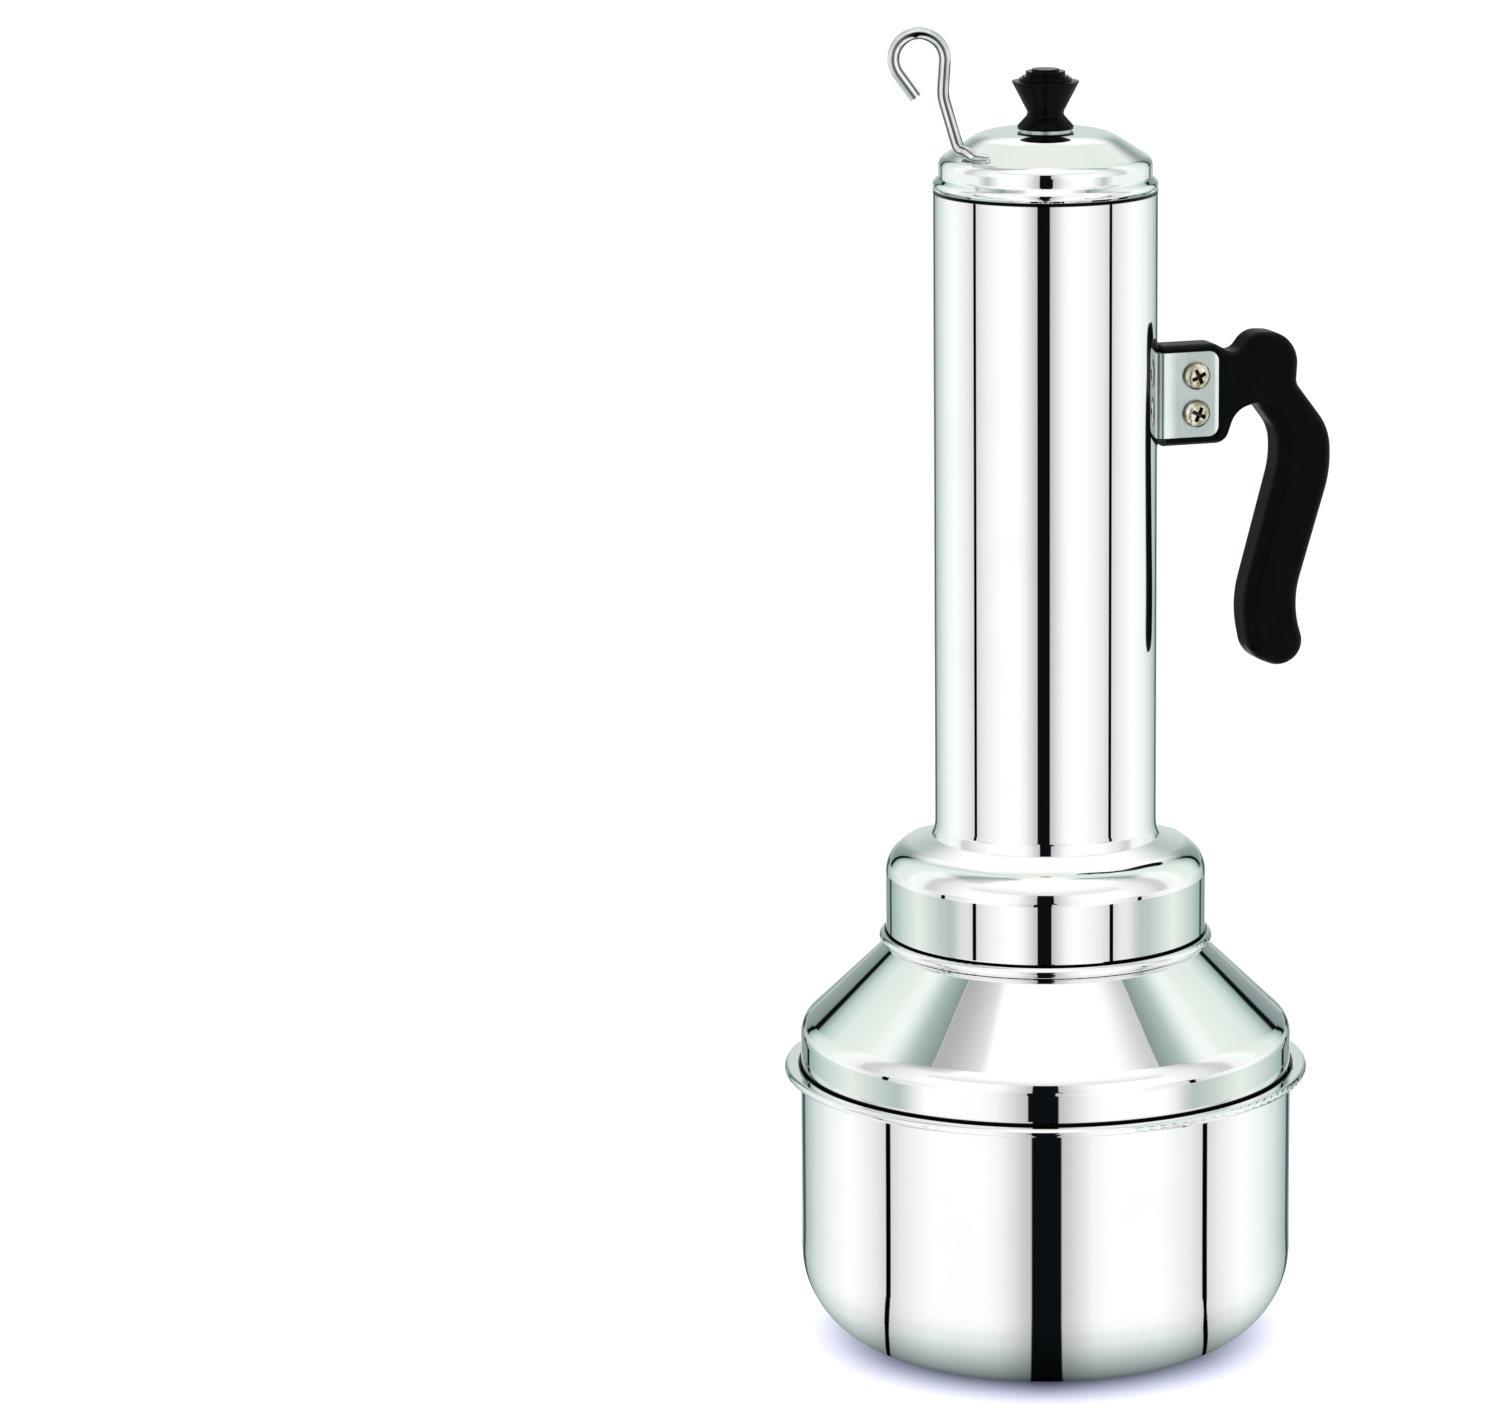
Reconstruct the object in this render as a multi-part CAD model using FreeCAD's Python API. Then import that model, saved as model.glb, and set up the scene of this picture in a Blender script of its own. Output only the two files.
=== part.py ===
import FreeCAD, Part
import math
import os

# Puttu maker: a stainless steel steam cooker for flour and coconut rolls.
# A boiler pot carries a pressed cone, the cone carries a tall tube on a domed skirt, and a lid closes the tube.
# The origin is the centre of the pot's underside, +Z is up and the handle points along +X.
# Sizes are millimetres and angles are degrees. Radii are outside radii unless the name says otherwise.

# Boiler pot
pot_radius = 72.5
pot_wall = 0.9
pot_height = 84.0
pot_corner_radius = 28.0
pot_rim_overhang = 4.6
pot_rim_bend = 1.55
pot_curl_bore = 0.35
pot_curl_return = 1.2

# Fit of the stacked pieces, each of which drops into the one below
nest_clearance = 0.25
seat_gap = 0.05
joggle_bend = 0.6
spigot_depth = 9.0

# Steam cone
cone_wall = 0.8
cone_step = 0.95
cone_band_height = 12.1
cone_slope = 44.0
cone_shoulder_bend = 8.0
cone_neck_height = 3.0
cone_neck_bend = 1.0
cone_curl_bore = 0.8
cone_curl_return = 0.9

# Domed skirt of the tube
skirt_wall = 0.8
skirt_step = 1.55
skirt_height = 29.2
skirt_dome_width = 13.8
skirt_dome_slope = 18.0
skirt_shoulder_bend = 9.5
skirt_spigot_depth = 10.0
skirt_joggle_bend = 1.2
ledge_margin = 0.7
ledge_bend = 2.0
ledge_overlap = 2.7

# Steam tube
tube_radius = 32.5
tube_wall = 0.8
tube_length = 190.0
tube_flare = 0.95
tube_flare_height = 2.15
tube_flare_bend = 10.0

# Perforated disc
disc_wall = 0.8
disc_clearance = 0.5
disc_rim_height = 4.0
disc_rim_bend = 1.6
disc_hole_radius = 1.5
disc_hole_margin = 9.0
disc_hole_rings = 3

# Lid
lid_wall = 0.7
lid_band_inset = 1.5
lid_band_height = 4.9
lid_shoulder_bend = 3.5
lid_slope = 32.0
lid_slope_width = 13.0
lid_plateau_bend = 14.0
lid_bead_overhang = 0.1
lid_bead_bend = 1.5
lid_groove_bend = 0.9
lid_plug_clearance = 0.35
lid_plug_bend = 0.5
lid_plug_depth = 8.0

# Screw threads and the holes that they pass through
thread_radius = 2.0
thread_clearance = 0.05
hole_clearance = 0.2

# Knob with its washer, screw and thread insert
knob_washer_radius = 7.6
knob_washer_thickness = 0.5
knob_height = 17.2
knob_foot_radius = 8.1
knob_foot_height = 0.9
knob_waist_radius = 4.95
knob_waist_height = 4.4
knob_waist_bend = 1.5
knob_rim_radius = 9.8
knob_rim_height = 13.7
knob_step_radii = (7.6, 6.8, 5.7, 4.0)
knob_step_heights = (13.9, 14.6, 15.2, 16.6)
knob_edge_bend = 0.15
insert_radius = 3.0
insert_length = 9.0
knob_screw_end_gap = 1.0
knob_screw_head_radius = 3.6
knob_screw_head_height = 2.2

# Hook of bent wire on the lid, at this angle about Z from the handle
hook_angle = 160.0
hook_wire_radius = 1.75
hook_foot_inset = 5.8
hook_foot_width = 5.0
hook_foot_thickness = 1.8
hook_foot_sweep = 50.0
hook_foot_steps = 12
hook_foot_taper = 0.6
hook_foot_tip = 0.75
hook_tip_cut = 0.93
hook_stem_lean = 16.0
hook_kink_height = 12.9
hook_kink_bend = 7.0
hook_foot_bend = 4.0
hook_loop_radius = 7.3
hook_loop_offset = 6.8
hook_loop_rise = 10.6
hook_leg_lean = 36.0
hook_leg_length = 8.3

# Handle bracket, a folded channel spot-welded to the tube
bracket_wall = 1.2
bracket_reach = 18.5
bracket_height = 25.0
bracket_fold = 2.6
bracket_corner = 3.0
bracket_level = 128.6
screw_spacing = 11.1
screw_reach = 11.5

# Moulded handle
tongue_thickness = 12.0
tongue_clearance = 0.1
handle_thickness = 14.8
handle_edge_radius = 4.4
# Outline corners: reach out from the tube's wall, height above the bracket's middle, bend radius
tongue_start = bracket_fold
tongue_top = 14.2
tongue_bottom = -15.4
handle_outline = (
    (tongue_start, tongue_top, 0.0),
    (18.4, tongue_top, 4.8),
    (25.3, 10.4, 3.8),
    (30.6, 17.0, 6.6),
    (45.2, 16.0, 9.4),
    (44.2, 1.2, 3.8),
    (54.9, -12.9, 17.2),
    (55.3, -25.4, 36.2),
    (43.4, -64.4, 28.2),
    (48.0, -79.4, 6.9),
    (39.5, -83.6, 7.2),
    (30.1, -79.7, 8.4),
    (27.1, -64.3, 33.6),
    (38.8, -21.5, 29.4),
    (38.2, -12.7, 12.2),
    (31.9, -4.3, 2.2),
    (25.3, -5.7, 7.4),
    (21.9, tongue_bottom, 4.5),
    (tongue_start, tongue_bottom, 0.0),
)

# Handle screws and nuts
head_radius = 4.0
head_height = 2.4
head_dome = 1.4
cross_width = 0.9
cross_length = 4.6
cross_depth = 1.2
cross_turn = 25.0
nut_width = 7.0
nut_height = 3.2
nut_chamfer = 0.5
screw_tail = 1.0

z_axis = FreeCAD.Vector(0, 0, 1)
x_axis = FreeCAD.Vector(1, 0, 0)
origin = FreeCAD.Vector(0, 0, 0)


# Places that several pieces share

def rim_bend_centre():
    """Centre and radius of the pot's flared mouth, in radius and height."""
    return pot_radius + pot_rim_bend, pot_height - pot_wall - pot_rim_bend, pot_rim_bend + pot_wall


def nested_height(centre_r, centre_z, round_radius, spigot_radius):
    """Height of a 45 degree joggle's foot where it rests on a rounded mouth."""
    return centre_z + (round_radius + seat_gap) * math.sqrt(2) - (centre_r - spigot_radius)


tube_bore = tube_radius - tube_wall
screw_hole_radius = thread_radius + hole_clearance
ledge_radius = tube_radius + ledge_margin
ledge_bore_radius = tube_bore - disc_clearance - ledge_overlap
skirt_radius = ledge_radius + skirt_dome_width
skirt_spigot_radius = skirt_radius - skirt_step
cone_neck_radius = skirt_spigot_radius + nest_clearance + cone_wall
cone_spigot_radius = pot_radius - pot_wall - nest_clearance
cone_band_radius = cone_spigot_radius + cone_step

slope_tan = math.tan(math.radians(cone_slope))
cone_corner_z = pot_height + cone_band_height
neck_corner_z = cone_corner_z + (cone_band_radius - cone_neck_radius) * slope_tan
neck_top_z = neck_corner_z + cone_neck_height
curl_centre_r = cone_neck_radius + cone_curl_bore
curl_centre_z = neck_top_z - cone_wall - cone_curl_bore
ledge_top_z = neck_top_z + skirt_height
tube_top_z = ledge_top_z + tube_length

lid_band_radius = tube_radius - lid_band_inset
lid_plateau_radius = lid_band_radius - lid_slope_width
hook_foot_radius = lid_band_radius - hook_foot_inset
bead_corner_r = tube_radius + lid_bead_overhang + lid_bead_bend * (math.sqrt(2) - 1)
bead_z = tube_top_z + seat_gap * math.sqrt(2) + bead_corner_r - tube_bore
lid_band_top_z = bead_z + bead_corner_r - lid_band_radius + lid_band_height
lid_slope_tan = math.tan(math.radians(lid_slope))
lid_top_z = lid_band_top_z + (lid_band_radius - lid_plateau_radius) * lid_slope_tan
knob_base_z = lid_top_z + knob_washer_thickness
bracket_z = ledge_top_z + bracket_level
flange_outer_y = tongue_thickness / 2 + tongue_clearance + bracket_wall


# Outlines made of straight runs and tangent arcs

def unit(a, b):
    """Unit vector from a to b in the plane."""
    length = math.hypot(b[0] - a[0], b[1] - a[1])
    return (b[0] - a[0]) / length, (b[1] - a[1]) / length


def offset_corners(corners, distance):
    """Shift an open line of corners to its left and keep every bend on its own centre."""
    shifted = []
    for i, (x, z, bend) in enumerate(corners):
        before = unit(corners[i - 1], corners[i]) if i > 0 else None
        after = unit(corners[i], corners[i + 1]) if i < len(corners) - 1 else None
        before = before or after
        after = after or before
        n1 = (-before[1], before[0])
        n2 = (-after[1], after[0])
        share = distance / (1 + n1[0] * n2[0] + n1[1] * n2[1])
        turns_left = before[0] * after[1] - before[1] * after[0] > 0
        new_bend = 0.0
        if bend:
            new_bend = bend - distance if turns_left else bend + distance
        shifted.append((x + share * (n1[0] + n2[0]), z + share * (n1[1] + n2[1]), new_bend))
    return shifted


def run_edges(corners, to_point, closed=False):
    """Edges along a line of corners, each corner rounded by its own bend radius."""
    count = len(corners)
    joints = []
    for i, (x, z, bend) in enumerate(corners):
        inner = closed or 0 < i < count - 1
        if not inner or not bend:
            joints.append(((x, z), (x, z), (x, z), False))
            continue
        back = unit(corners[i], corners[i - 1])
        ahead = unit(corners[i], corners[(i + 1) % count])
        half = math.acos(max(-1.0, min(1.0, back[0] * ahead[0] + back[1] * ahead[1]))) / 2
        reach = bend / math.tan(half)
        middle = unit((0, 0), (back[0] + ahead[0], back[1] + ahead[1]))
        dip = bend / math.sin(half) - bend
        joints.append((
            (x + back[0] * reach, z + back[1] * reach),
            (x + middle[0] * dip, z + middle[1] * dip),
            (x + ahead[0] * reach, z + ahead[1] * reach),
            True,
        ))
    edges = []
    for i, (start, through, end, rounded) in enumerate(joints):
        if rounded:
            edges.append(Part.Arc(to_point(*start), to_point(*through), to_point(*end)).toShape())
        if i == count - 1 and not closed:
            break
        following = joints[(i + 1) % count][0]
        if math.hypot(following[0] - end[0], following[1] - end[1]) > 1e-6:
            edges.append(Part.LineSegment(to_point(*end), to_point(*following)).toShape())
    return edges


def upright(r, z):
    """A point of a section in the XZ plane."""
    return FreeCAD.Vector(r, 0, z)


def level(x, y):
    """A point of a section in the XY plane."""
    return FreeCAD.Vector(x, y, 0)


def face_of(edges):
    """A face inside a closed run of edges."""
    return Part.Face(Part.Wire(Part.__sortEdges__(edges)))


def sheet_face(corners, wall, to_point=upright):
    """Section of a sheet whose first face runs along the corners and whose metal lies to their left."""
    other = offset_corners(corners, wall)
    edges = run_edges(corners, to_point) + run_edges(other, to_point)
    for first, second in ((corners[0], other[0]), (corners[-1], other[-1])):
        edges.append(Part.LineSegment(to_point(*first[:2]), to_point(*second[:2])).toShape())
    return face_of(edges)


def turned(face):
    """A section revolved about the upright axis."""
    return face.revolve(origin, z_axis, 360)


def outline_face(corners, to_point=upright):
    """Face inside a closed line of corners."""
    return face_of(run_edges(corners, to_point, closed=True))


def rod(radius, height, base_z=0.0):
    """Upright cylinder from a height."""
    return Part.makeCylinder(radius, height, FreeCAD.Vector(0, 0, base_z))


# Pot, cone, skirt and tube

def boiler_pot():
    """Drawn cup with a rounded bottom corner and a flared rim that ends in a tight roll."""
    curl_r = pot_radius + pot_rim_overhang - pot_wall
    under_rim = pot_height - pot_wall
    corners = [
        (0.0, 0.0, 0.0),
        (pot_radius, 0.0, pot_corner_radius),
        (pot_radius, under_rim, pot_rim_bend),
        (curl_r, under_rim, pot_curl_bore),
        (curl_r, under_rim - 2 * pot_curl_bore, pot_curl_bore),
        (curl_r - pot_curl_return, under_rim - 2 * pot_curl_bore, 0.0),
    ]
    return turned(sheet_face(corners, pot_wall))


def steam_cone():
    """Pressed cone: spigot into the pot, band, 44 degree slope, short neck and a rolled ring."""
    centre_r, centre_z, round_radius = rim_bend_centre()
    joggle_z = nested_height(centre_r, centre_z, round_radius, cone_spigot_radius)
    curl_r = cone_neck_radius + 2 * cone_curl_bore
    corners = [
        (cone_spigot_radius, joggle_z - spigot_depth, 0.0),
        (cone_spigot_radius, joggle_z, joggle_bend),
        (cone_band_radius, joggle_z + cone_step, joggle_bend + cone_wall / 2),
        (cone_band_radius, cone_corner_z, cone_shoulder_bend),
        (cone_neck_radius, neck_corner_z, cone_neck_bend),
        (cone_neck_radius, neck_top_z - cone_wall, cone_curl_bore),
        (curl_r, neck_top_z - cone_wall, cone_curl_bore),
        (curl_r, neck_top_z - cone_wall - 2 * cone_curl_bore, cone_curl_bore),
        (curl_r - cone_curl_return, neck_top_z - cone_wall - 2 * cone_curl_bore, 0.0),
    ]
    return turned(sheet_face(corners, cone_wall))


def tube_skirt():
    """Domed collar: spigot into the cone's ring, wall, dome and an inward ledge for the tube and disc."""
    joggle_z = nested_height(curl_centre_r, curl_centre_z, cone_curl_bore + cone_wall, skirt_spigot_radius)
    dome_drop = skirt_dome_width * math.tan(math.radians(skirt_dome_slope))
    corners = [
        (skirt_spigot_radius, joggle_z - skirt_spigot_depth, 0.0),
        (skirt_spigot_radius, joggle_z, joggle_bend),
        (skirt_radius, joggle_z + skirt_step, skirt_joggle_bend),
        (skirt_radius, ledge_top_z - dome_drop, skirt_shoulder_bend),
        (ledge_radius, ledge_top_z, ledge_bend),
        (ledge_bore_radius, ledge_top_z, 0.0),
    ]
    return turned(sheet_face(corners, skirt_wall))


def steam_tube():
    """Long tube whose foot flares a little where it is welded to the skirt."""
    corners = [
        (tube_radius + tube_flare, ledge_top_z, 0.0),
        (tube_radius, ledge_top_z + tube_flare_height, tube_flare_bend),
        (tube_radius, tube_top_z, 0.0),
    ]
    tube = turned(sheet_face(corners, tube_wall))
    below = rod(tube_radius + 2 * tube_flare, tube_wall, ledge_top_z - tube_wall)
    return tube.cut(below)


def perforated_disc():
    """Loose disc on the ledge at the tube's foot, with an upturned rim and rings of steam holes."""
    rim_r = tube_bore - disc_clearance
    corners = [
        (0.0, ledge_top_z, 0.0),
        (rim_r, ledge_top_z, disc_rim_bend),
        (rim_r, ledge_top_z + disc_rim_height, 0.0),
    ]
    disc = turned(sheet_face(corners, disc_wall))
    pitch = (rim_r - disc_hole_margin) / disc_hole_rings
    drill = rod(disc_hole_radius, 3 * disc_wall, ledge_top_z - disc_wall)
    holes = [drill.copy()]
    for ring in range(1, disc_hole_rings + 1):
        for i in range(6 * ring):
            hole = drill.copy()
            hole.translate(FreeCAD.Vector(ring * pitch, 0, 0))
            hole.rotate(origin, z_axis, i * 60 / ring)
            holes.append(hole)
    return disc.cut(holes)


# Lid, hook and knob

def lid():
    """Pressed cap: plug into the tube, rounded bead that rests on it, band, slope and flat top."""
    plug_r = tube_bore - lid_plug_clearance
    corners = [
        (plug_r, tube_top_z - lid_plug_depth, 0.0),
        (plug_r, bead_z - bead_corner_r + plug_r, lid_plug_bend),
        (bead_corner_r, bead_z, lid_bead_bend),
        (lid_band_radius, bead_z + bead_corner_r - lid_band_radius, lid_groove_bend),
        (lid_band_radius, lid_band_top_z, lid_shoulder_bend),
        (lid_plateau_radius, lid_top_z, lid_plateau_bend),
        (screw_hole_radius, lid_top_z, 0.0),
    ]
    return turned(sheet_face(corners, lid_wall))


def on_slope(radius, height):
    """A point this high above the lid's slope, square to it, in the XZ plane."""
    tilt = math.radians(lid_slope)
    slope_z = lid_top_z - (radius - lid_plateau_radius) * lid_slope_tan
    return FreeCAD.Vector(radius + math.sin(tilt) * height, 0, slope_z + math.cos(tilt) * height)


def foot_section(angle, half_width, half_height):
    """Oval section of the hook's foot, standing square to its curve round the lid."""
    tilt = math.radians(lid_slope)
    centre = on_slope(hook_foot_radius, half_height + seat_gap)
    across = FreeCAD.Vector(math.cos(tilt), 0, -math.sin(tilt)) * half_width
    up = FreeCAD.Vector(math.sin(tilt), 0, math.cos(tilt)) * half_height
    oval = Part.Wire(Part.Ellipse(centre + across, centre + up, centre).toShape())
    oval.rotate(origin, z_axis, angle)
    return oval


def wire_section(angle):
    """The round wire's section where it has turned along the slope, this far round the lid."""
    tilt = math.radians(lid_slope)
    circle = Part.Circle(on_slope(hook_foot_radius, hook_wire_radius + seat_gap), FreeCAD.Vector(0, 1, 0),
                         hook_wire_radius)
    circle.XAxis = FreeCAD.Vector(math.cos(tilt), 0, -math.sin(tilt))
    section = Part.Wire(circle.toShape())
    section.rotate(origin, z_axis, angle)
    return section


def hook_foot(start_angle):
    """The wire's end, hammered from round to a flat leaf with a round tip, curved round the lid's slope."""
    sections = [wire_section(start_angle)]
    for i in range(1, hook_foot_steps + 1):
        share = i / hook_foot_steps
        hammered = min(1.0, share / hook_foot_taper)
        hammered = hammered * hammered * (3 - 2 * hammered)
        into_tip = max(0.0, (share - hook_foot_tip) / (1 - hook_foot_tip))
        tip = math.sqrt(1 - (hook_tip_cut * into_tip) ** 2)
        half_width = hook_wire_radius + (hook_foot_width / 2 - hook_wire_radius) * hammered
        half_height = hook_wire_radius + (hook_foot_thickness / 2 - hook_wire_radius) * hammered
        angle = start_angle + share * (hook_foot_sweep - start_angle)
        sections.append(foot_section(angle, half_width * tip, half_height * (1 + tip) / 2))
    return Part.makeLoft(sections, True, True)


def hook_wire(start_angle):
    """Round wire: bend off the lid, leaning stem, kink and open loop."""
    lean = math.radians(hook_stem_lean)
    foot = on_slope(hook_foot_radius, hook_wire_radius + seat_gap)
    stem = FreeCAD.Vector(math.sin(lean), 0, math.cos(lean))
    kink = foot + stem * (hook_kink_height / math.cos(lean))
    centre = kink + FreeCAD.Vector(hook_loop_offset, 0, hook_loop_rise)
    span = math.hypot(hook_loop_offset, hook_loop_rise)
    aim = math.atan2(hook_loop_rise, hook_loop_offset)
    touch = aim + math.asin(hook_loop_radius / span)
    run = math.sqrt(span ** 2 - hook_loop_radius ** 2)
    into_loop = FreeCAD.Vector(math.cos(touch), 0, math.sin(touch))
    loop_start = kink + into_loop * run

    def on_loop(angle):
        return centre + FreeCAD.Vector(math.cos(angle), 0, math.sin(angle)) * hook_loop_radius

    leg = math.radians(hook_leg_lean)
    leg_way = FreeCAD.Vector(-math.sin(leg), 0, -math.cos(leg))
    leg_start = on_loop(-leg)
    # Bend at the kink
    half = stem.getAngle(into_loop) / 2
    reach = hook_kink_bend * math.tan(half)
    kink_in = kink - stem * reach
    kink_out = kink + into_loop * reach
    kink_dip = (into_loop - stem).normalize() * (hook_kink_bend / math.cos(half) - hook_kink_bend)
    # Bend at the foot, from the stem into the foot's way round the lid
    section = wire_section(start_angle)
    foot_in = section.CenterOfMass
    tangent = FreeCAD.Vector(-math.sin(math.radians(start_angle)), math.cos(math.radians(start_angle)), 0)
    foot_out = foot + stem * hook_foot_bend
    edges = [
        Part.LineSegment(foot_out, kink_in).toShape(),
        Part.Arc(kink_in, kink + kink_dip, kink_out).toShape(),
        Part.LineSegment(kink_out, loop_start).toShape(),
        Part.Arc(loop_start, on_loop(math.pi / 2), leg_start).toShape(),
        Part.LineSegment(leg_start, leg_start + leg_way * hook_leg_length).toShape(),
    ]
    bend = Part.BezierCurve()
    pull = hook_foot_bend * 0.55
    bend.setPoles([foot_in, foot_in - tangent * pull, foot_out - stem * pull, foot_out])
    path = Part.Wire([bend.toShape()] + edges)
    return path.makePipeShell([section], True, True)


def lid_hook():
    """Wire bent into an open loop, its flattened foot turned along the lid."""
    start_angle = math.degrees(math.atan2(hook_foot_bend, hook_foot_radius))
    hook = hook_wire(start_angle).fuse(hook_foot(start_angle))
    hook.rotate(origin, z_axis, hook_angle)
    return hook


def knob_washer():
    """Thin bright washer between the lid and the knob."""
    disc = rod(knob_washer_radius, knob_washer_thickness, lid_top_z)
    return disc.cut(rod(screw_hole_radius, 3 * knob_washer_thickness, lid_top_z - knob_washer_thickness))


def knob():
    """Turned knob: foot, waist, flared rim and stepped top, bored for its thread insert."""
    corners = [
        (insert_radius, 0.0, 0.0),
        (knob_foot_radius, 0.0, knob_edge_bend),
        (knob_foot_radius, knob_foot_height, knob_edge_bend),
        (knob_waist_radius, knob_waist_height, knob_waist_bend),
        (knob_rim_radius, knob_rim_height, knob_edge_bend),
    ]
    for i, (radius, height) in enumerate(zip(knob_step_radii, knob_step_heights)):
        top = knob_step_heights[i + 1] if i + 1 < len(knob_step_heights) else knob_height
        corners.append((radius, height, knob_edge_bend))
        corners.append((radius, top, knob_edge_bend))
    corners += [
        (0.0, knob_height, 0.0),
        (0.0, insert_length, 0.0),
        (insert_radius, insert_length, 0.0),
    ]
    body = turned(outline_face(corners))
    body.translate(z_axis * knob_base_z)
    return body


def knob_insert():
    """Brass thread insert moulded into the knob."""
    sleeve = rod(insert_radius, insert_length, knob_base_z)
    return sleeve.cut(rod(thread_radius, 2 * insert_length, knob_base_z - insert_length / 2))


def knob_screw():
    """Pan-head screw from inside the lid."""
    under_lid = lid_top_z - lid_wall
    end = knob_base_z + insert_length - knob_screw_end_gap
    shank = rod(thread_radius - thread_clearance, end - under_lid, under_lid)
    head = rod(knob_screw_head_radius, knob_screw_head_height, under_lid - knob_screw_head_height)
    bottom = [e for e in head.Edges if e.CenterOfMass.z < head.CenterOfMass.z and e.Closed]
    head = head.makeFillet(knob_screw_head_height / 2, bottom)
    slot = Part.makeBox(2 * knob_screw_head_radius, cross_width, cross_depth)
    slot.translate(FreeCAD.Vector(-knob_screw_head_radius, -cross_width / 2, under_lid - knob_screw_head_height))
    return head.cut(slot).fuse(shank)


# Bracket, handle, screws and nuts

def handle_bracket():
    """Folded channel with two holes in each flange, its back pressed to the tube's curve."""
    half_flat = flange_outer_y - bracket_fold
    sag = tube_radius - math.sqrt(tube_radius ** 2 - half_flat ** 2)
    back = tube_radius - sag
    end = tube_radius + bracket_reach
    corners = [
        (end, flange_outer_y, 0.0),
        (back, flange_outer_y, bracket_fold),
        (back, -flange_outer_y, bracket_fold),
        (end, -flange_outer_y, 0.0),
    ]
    channel = sheet_face(corners, bracket_wall, level).extrude(z_axis * bracket_height)
    ends = [e for e in channel.Edges
            if abs(e.CenterOfMass.x - end) < 1e-6 and abs(e.Length - bracket_wall) < 1e-6]
    channel = channel.makeFillet(bracket_corner, ends)
    channel.translate(z_axis * (bracket_z - bracket_height / 2))
    channel = channel.cut(rod(tube_radius + seat_gap, 2 * bracket_height, bracket_z - bracket_height))
    return channel.cut(bolt_holes(4 * flange_outer_y))


def bolt_holes(length):
    """The two cross holes for the handle screws."""
    holes = []
    for side in (1, -1):
        base = FreeCAD.Vector(tube_radius + screw_reach, -length / 2, bracket_z + side * screw_spacing / 2)
        holes.append(Part.makeCylinder(screw_hole_radius, length, base, FreeCAD.Vector(0, 1, 0)))
    return holes


def handle():
    """Moulded handle: thin tongue for the bracket, head, and an S-shaped grip with rounded edges."""
    corners = [(tube_radius + x, bracket_z + z, bend) for x, z, bend in handle_outline]
    plate = outline_face(corners).extrude(FreeCAD.Vector(0, handle_thickness, 0))
    plate.translate(FreeCAD.Vector(0, -handle_thickness / 2, 0))
    start = tube_radius + tongue_start
    rims = []
    for edge in plate.Edges:
        flat = abs(abs(edge.CenterOfMass.y) - handle_thickness / 2) < 1e-6
        at_start = abs(edge.CenterOfMass.x - start) < 1e-6
        if flat and not at_start:
            rims.append(edge)
    body = plate.makeFillet(handle_edge_radius, rims)
    pocket_end = bracket_reach + 2 * tongue_clearance
    deep = handle_thickness - tongue_thickness
    for side in (1, -1):
        pocket = Part.makeBox(pocket_end, deep, 2 * bracket_height)
        low_y = tongue_thickness / 2 if side > 0 else -tongue_thickness / 2 - deep
        pocket.translate(FreeCAD.Vector(tube_radius, low_y, bracket_z - bracket_height))
        body = body.cut(pocket)
    return body.cut(bolt_holes(2 * handle_thickness))


def at_bolt(shape, side):
    """Turn a piece made along +Z, with its seat at zero, onto one of the handle's bolt axes."""
    placed = shape.copy()
    placed.rotate(origin, x_axis, 90)
    placed.translate(FreeCAD.Vector(tube_radius + screw_reach, 0, bracket_z + side * screw_spacing / 2))
    return placed


def handle_screw(side):
    """Domed pan head with a cross recess on the near flange, and its shank through to the nut."""
    corners = [
        (0.0, flange_outer_y, 0.0),
        (head_radius, flange_outer_y, 0.0),
        (head_radius, flange_outer_y + head_height, head_dome),
        (0.0, flange_outer_y + head_height, 0.0),
    ]
    head = turned(outline_face(corners))
    for turn in (0, 90):
        arm = Part.makeBox(cross_length, cross_width, 2 * cross_depth)
        arm.translate(FreeCAD.Vector(-cross_length / 2, -cross_width / 2, flange_outer_y + head_height - cross_depth))
        arm.rotate(origin, z_axis, turn + cross_turn * side)
        head = head.cut(arm)
    far_end = -flange_outer_y - nut_height - screw_tail
    shank = rod(thread_radius - thread_clearance, flange_outer_y - far_end, far_end)
    return at_bolt(head.fuse(shank), side)


def handle_nut(side):
    """Hexagon nut on the far flange, its corners turned off at both faces."""
    top = -flange_outer_y
    across_corners = nut_width / math.cos(math.radians(30)) / 2
    points = []
    for i in range(7):
        a = math.radians(60 * i + 30)
        points.append(FreeCAD.Vector(across_corners * math.cos(a), across_corners * math.sin(a), top - nut_height))
    prism = Part.Face(Part.makePolygon(points)).extrude(z_axis * nut_height)
    corners = [
        (thread_radius, top, 0.0),
        (across_corners - nut_chamfer, top, 0.0),
        (across_corners, top - nut_chamfer / 2, 0.0),
        (across_corners, top - nut_height + nut_chamfer / 2, 0.0),
        (across_corners - nut_chamfer, top - nut_height, 0.0),
        (thread_radius, top - nut_height, 0.0),
    ]
    return at_bolt(prism.common(turned(outline_face(corners))), side)


pieces = {
    "boiler_pot": boiler_pot(),
    "steam_cone": steam_cone(),
    "tube_skirt": tube_skirt(),
    "steam_tube": steam_tube(),
    "perforated_disc": perforated_disc(),
    "lid": lid(),
    "lid_hook": lid_hook(),
    "knob_washer": knob_washer(),
    "knob": knob(),
    "knob_insert": knob_insert(),
    "knob_screw": knob_screw(),
    "handle_bracket": handle_bracket(),
    "handle": handle(),
    "handle_screw_upper": handle_screw(1),
    "handle_screw_lower": handle_screw(-1),
    "handle_nut_upper": handle_nut(1),
    "handle_nut_lower": handle_nut(-1),
}

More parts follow.
